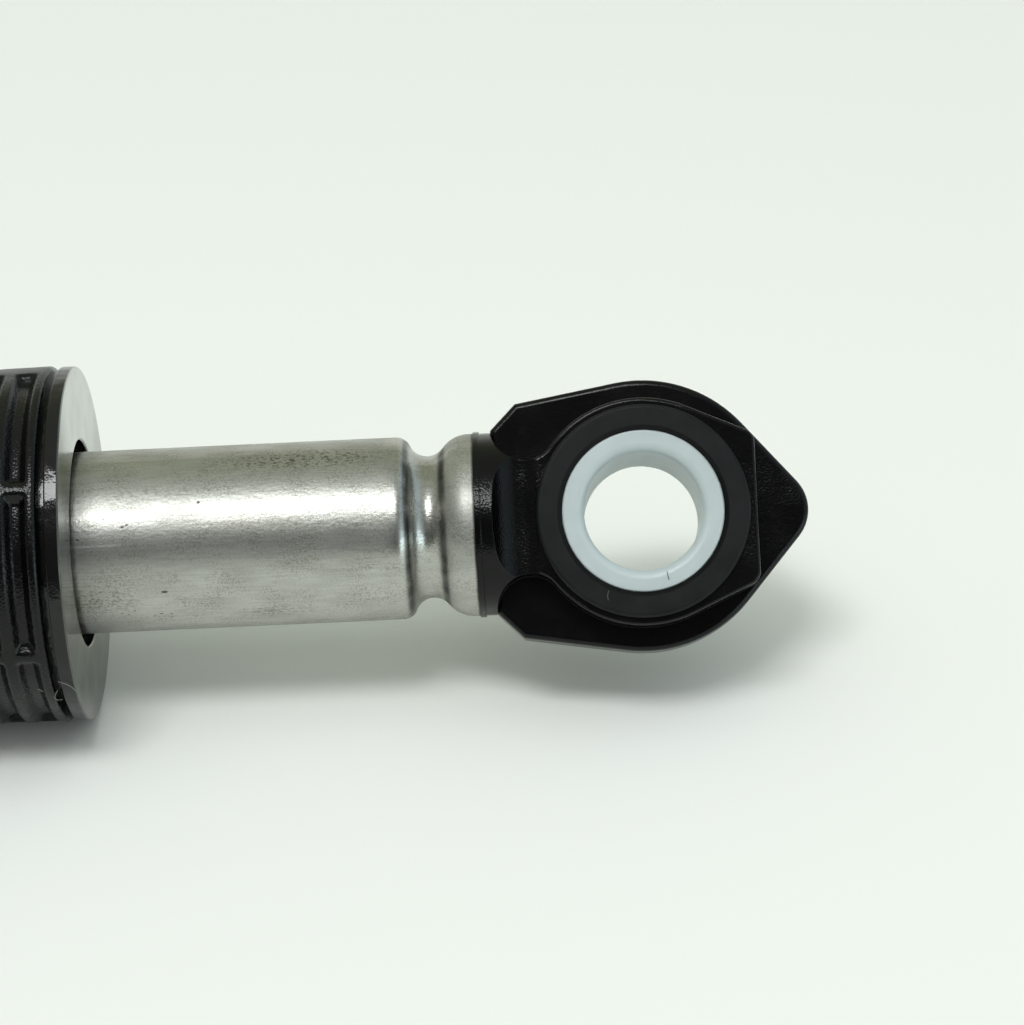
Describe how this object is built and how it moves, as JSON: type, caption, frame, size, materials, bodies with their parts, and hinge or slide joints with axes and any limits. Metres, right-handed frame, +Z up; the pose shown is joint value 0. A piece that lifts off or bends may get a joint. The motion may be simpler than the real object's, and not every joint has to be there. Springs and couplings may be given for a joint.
{
  "type": "washing machine shock absorber",
  "caption": "Friction damper for a washing machine drum: a steel tube rod with a moulded eye slides in a ribbed black friction head on a steel casing.",
  "frame": {"origin": "centre of the lower eye's bore, on the damper's axis", "axes": "+X along the damper from the lower eye to the rod eye, +Y along the lower eye's bore, +Z up"},
  "size_m": [0.2767, 0.043, 0.043],
  "materials": {
    "moulded_black": "black moulded plastic, lightly grained",
    "cap_steel": "bright pressed steel",
    "rod_steel": "bare drawn steel tube, lightly pitted",
    "casing_paint": "satin black paint",
    "rubber": "matte black rubber",
    "bush_white": "cool white plastic",
    "guide_plastic": "natural plastic",
    "friction_foam": "greased foam",
    "felt": "grey felt"
  },
  "bodies": {
    "casing": {"friction_housing": "moulded_black", "end_cap": "cap_steel", "wiper_ring": "felt", "outer_guide_bush": "guide_plastic", "outer_friction_lining": "friction_foam", "lining_spacer": "guide_plastic", "inner_friction_lining": "friction_foam", "inner_guide_bush": "guide_plastic", "casing_tube": "casing_paint", "bump_stop": "rubber", "lower_eye": "moulded_black", "lower_eye_isolator": "rubber", "lower_eye_bush": "bush_white"},
    "piston_ring": {"piston_ring": "guide_plastic"},
    "rod": {"rod_tube": "rod_steel", "piston": "guide_plastic", "rebound_buffer": "rubber", "rod_eye": "moulded_black", "rod_eye_isolator": "rubber", "rod_eye_bush": "bush_white"}
  },
  "joints": [
    {"name": "rod_slide", "type": "slide", "parent": "casing", "child": "piston_ring", "axis": [1, 0, 0], "range_m": [-0.03, 0.05]},
    {"name": "rod_turn", "type": "hinge", "parent": "piston_ring", "child": "rod", "pos_m": [0.0826, 0, 0], "axis": [1, 0, 0], "continuous": true}
  ]
}
